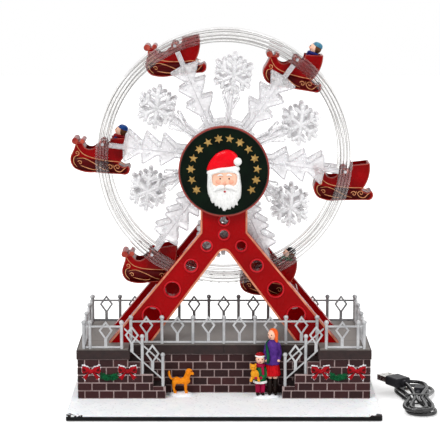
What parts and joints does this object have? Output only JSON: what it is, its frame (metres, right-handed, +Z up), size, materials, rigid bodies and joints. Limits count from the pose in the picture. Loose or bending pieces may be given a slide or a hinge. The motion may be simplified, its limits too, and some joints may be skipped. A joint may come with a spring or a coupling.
{
  "type": "musical ferris wheel box",
  "caption": "Electric Christmas music box: a clear ferris wheel with hanging sleighs turns between red A-frames on a fenced brick base; tied power lead.",
  "frame": {"origin": "centre of the base, at floor level under the feet", "axes": "+Z up, +X to the right of a viewer in front, +Y from the front to the back"},
  "size_m": [0.2996, 0.157, 0.2997],
  "materials": {
    "black_plastic": "fine matte",
    "rubber": "matte",
    "snow": "rough white with a little glitter",
    "brick": "painted dark red-brown brick relief",
    "coping": "painted dark grey",
    "stone": "painted taupe stone",
    "fence_grey": "satin silver grey",
    "bow_red": "painted gloss red",
    "greenery": "painted green",
    "frame_red": "gloss red",
    "copper_trim": "metallic copper paint",
    "white_plastic": "natural white",
    "steel": "plain",
    "clear_plastic": "clear, frosted inside",
    "medallion_green": "satin dark green",
    "gold": "gold paint",
    "skin": "painted",
    "hat_red": "painted red",
    "fur_white": "painted white",
    "sleigh_red": "gloss red",
    "rider_teal": "painted, teal hat and purple scarf",
    "rider_blue": "painted, blue coat and hat",
    "rider_red": "painted, red coat",
    "board_green": "solder mask",
    "dog_orange": "painted orange",
    "coat_red": "painted, red and grey coats",
    "black_wire": "satin black vinyl",
    "nickel": "bright nickel"
  },
  "bodies": {
    "base": {"bottom_plate": "black_plastic", "rubber_feet": "rubber", "snow_ground": "snow", "brick_walls": "brick", "cap_slab": "coping", "deck_stone": "stone", "stairs": "stone", "rear_fence": "fence_grey", "centre_fence": "fence_grey", "side_fences": "fence_grey", "wing_fences": "fence_grey", "stair_rails": "fence_grey", "bows": "bow_red", "garlands": "greenery", "front_frame": "frame_red", "rear_frame": "frame_red", "frame_trim": "copper_trim", "axle_bushes": "white_plastic", "gear_motor": "steel", "gear_housing": "frame_red", "motor_wire": "black_wire", "medallion_disc": "medallion_green", "medallion_rim": "copper_trim", "medallion_stars": "gold", "santa_face": "skin", "santa_hat": "hat_red", "santa_beard": "fur_white", "santa_fur": "fur_white", "circuit_board": "board_green", "speaker": "black_plastic", "dc_socket": "black_plastic", "switch_body": "black_plastic", "screws": "steel", "dog": "dog_orange", "shoppers": "coat_red", "lead_hank": "black_wire", "lead_tie": "black_wire", "usb_plug": "black_plastic", "usb_shell": "nickel", "dc_plug": "black_plastic", "dc_barrel": "nickel"},
    "wheel": {"wheel_axle": "steel", "front_rim": "clear_plastic", "rear_rim": "clear_plastic", "front_snowflake": "clear_plastic", "rear_snowflake": "clear_plastic", "hub_drum": "clear_plastic", "pivot_pins": "steel", "driven_gear": "white_plastic"},
    "car_1": {"sleigh_1": "sleigh_red"},
    "car_2": {"sleigh_2": "sleigh_red", "rider_2": "rider_teal"},
    "car_3": {"sleigh_3": "sleigh_red"},
    "car_4": {"sleigh_4": "sleigh_red", "rider_4": "rider_blue"},
    "car_5": {"sleigh_5": "sleigh_red"},
    "car_6": {"sleigh_6": "sleigh_red", "rider_6": "rider_red"},
    "pinion": {"motor_pinion": "white_plastic"},
    "slider": {"switch_slider": "black_plastic"}
  },
  "joints": [
    {"name": "wheel_spin", "type": "hinge", "parent": "base", "child": "wheel", "pos_m": [0, 0.0235, 0.1955], "axis": [0, -1, 0], "continuous": true},
    {"name": "car_1_swing", "type": "hinge", "parent": "wheel", "child": "car_1", "pos_m": [0.09836, 0.0235, 0.18429], "axis": [0, -1, 0], "continuous": true},
    {"name": "car_2_swing", "type": "hinge", "parent": "wheel", "child": "car_2", "pos_m": [0.05889, 0.0235, 0.27508], "axis": [0, -1, 0], "continuous": true},
    {"name": "car_3_swing", "type": "hinge", "parent": "wheel", "child": "car_3", "pos_m": [-0.03948, 0.0235, 0.28629], "axis": [0, -1, 0], "continuous": true},
    {"name": "car_4_swing", "type": "hinge", "parent": "wheel", "child": "car_4", "pos_m": [-0.09836, 0.0235, 0.20671], "axis": [0, -1, 0], "continuous": true},
    {"name": "car_5_swing", "type": "hinge", "parent": "wheel", "child": "car_5", "pos_m": [-0.05889, 0.0235, 0.11592], "axis": [0, -1, 0], "continuous": true},
    {"name": "car_6_swing", "type": "hinge", "parent": "wheel", "child": "car_6", "pos_m": [0.03948, 0.0235, 0.10471], "axis": [0, -1, 0], "continuous": true},
    {"name": "pinion_spin", "type": "hinge", "parent": "base", "child": "pinion", "pos_m": [0, 0.0235, 0.1747], "axis": [0, -1, 0], "continuous": true},
    {"name": "switch_slide", "type": "slide", "parent": "base", "child": "slider", "axis": [1, 0, 0], "range_m": [0, 0.0025]}
  ],
  "couplings": [
    {"joint": "car_1_swing", "follows": "wheel_spin", "ratio": -1},
    {"joint": "car_2_swing", "follows": "wheel_spin", "ratio": -1},
    {"joint": "car_3_swing", "follows": "wheel_spin", "ratio": -1},
    {"joint": "car_4_swing", "follows": "wheel_spin", "ratio": -1},
    {"joint": "car_5_swing", "follows": "wheel_spin", "ratio": -1},
    {"joint": "car_6_swing", "follows": "wheel_spin", "ratio": -1},
    {"joint": "pinion_spin", "follows": "wheel_spin", "ratio": -3.3333}
  ]
}
